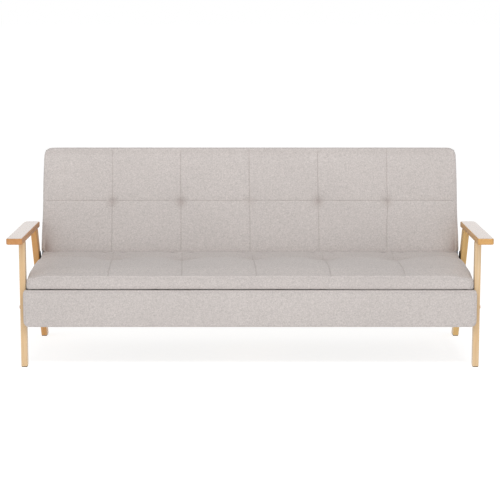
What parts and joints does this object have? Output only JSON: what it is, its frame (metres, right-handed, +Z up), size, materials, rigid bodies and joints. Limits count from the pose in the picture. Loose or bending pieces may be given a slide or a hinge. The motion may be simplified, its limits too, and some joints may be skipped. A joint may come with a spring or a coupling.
{
  "type": "sofa bed",
  "caption": "Upholstered three-seat sofa bed on open wooden side frames, with a lifting seat and a back that lies down level with it.",
  "frame": {"origin": "on the floor, at the middle of the bounding box", "axes": "+X along the sofa to the viewer's right as seen from the front, -Y to the front, +Z up"},
  "size_m": [1.946, 0.7404, 0.8521],
  "materials": {
    "lacquered_wood": "clear lacquered pale hardwood",
    "frame_timber": "planed, unfinished",
    "upholstery": "plain woven, light greige",
    "dust_cloth": "thin black non-woven cloth",
    "black_steel": "satin black paint",
    "zinc_steel": "zinc plated",
    "bronze_steel": "bronze-coloured connector bolts",
    "black_rubber": "matte"
  },
  "bodies": {
    "base": {"armrest_left": "lacquered_wood", "armrest_right": "lacquered_wood", "base_cross_rail": "frame_timber", "base_front_rail": "frame_timber", "base_rear_rail": "frame_timber", "foot_glide_front_left": "black_rubber", "foot_glide_front_right": "black_rubber", "foot_glide_rear_left": "black_rubber", "foot_glide_rear_right": "black_rubber", "front_leg_left": "lacquered_wood", "front_leg_right": "lacquered_wood", "front_panel": "upholstery", "hinge_base_plate_left": "black_steel", "hinge_base_plate_right": "black_steel", "hinge_pivot_bolt_left": "bronze_steel", "hinge_pivot_bolt_right": "bronze_steel", "hinge_plate_bolt_left": "bronze_steel", "hinge_plate_bolt_right": "bronze_steel", "rail_bolt_front_left": "bronze_steel", "rail_bolt_front_right": "bronze_steel", "rail_bolt_rear_left": "bronze_steel", "rail_bolt_rear_right": "bronze_steel", "rear_leg_left": "lacquered_wood", "rear_leg_right": "lacquered_wood", "seat_rest_bracket_left": "black_steel", "seat_rest_bracket_right": "black_steel", "seat_rest_strip": "black_rubber", "side_rail_left": "lacquered_wood", "side_rail_right": "lacquered_wood"},
    "seat": {"hinge_seat_arm_left": "black_steel", "hinge_seat_arm_right": "black_steel", "seat_arm_bolt_front_left": "zinc_steel", "seat_arm_bolt_front_right": "zinc_steel", "seat_arm_bolt_rear_left": "zinc_steel", "seat_arm_bolt_rear_right": "zinc_steel", "seat_cushion": "upholstery", "seat_dust_cover": "dust_cloth", "seat_frame_front_rail": "frame_timber", "seat_frame_rear_rail": "frame_timber", "seat_frame_side_rail_left": "frame_timber", "seat_frame_side_rail_right": "frame_timber", "seat_slat_1": "frame_timber", "seat_slat_2": "frame_timber", "seat_slat_3": "frame_timber"},
    "back": {"back_arm_bolt_lower_left": "zinc_steel", "back_arm_bolt_lower_right": "zinc_steel", "back_arm_bolt_upper_left": "zinc_steel", "back_arm_bolt_upper_right": "zinc_steel", "back_cushion": "upholstery", "back_frame_bottom_rail": "frame_timber", "back_frame_side_rail_left": "frame_timber", "back_frame_side_rail_right": "frame_timber", "back_frame_top_rail": "frame_timber", "back_rear_cover": "upholstery", "back_slat_1": "frame_timber", "back_slat_2": "frame_timber", "back_slat_3": "frame_timber", "hinge_back_arm_left": "black_steel", "hinge_back_arm_right": "black_steel"}
  },
  "joints": [
    {"name": "seat_tilt", "type": "hinge", "parent": "base", "child": "seat", "pos_m": [0, 0.17875, 0.335], "axis": [-1, 0, 0], "range_deg": [0, 30]},
    {"name": "back_recline", "type": "hinge", "parent": "seat", "child": "back", "pos_m": [0, 0.17875, 0.335], "axis": [-1, 0, 0], "range_deg": [0, 75]}
  ]
}
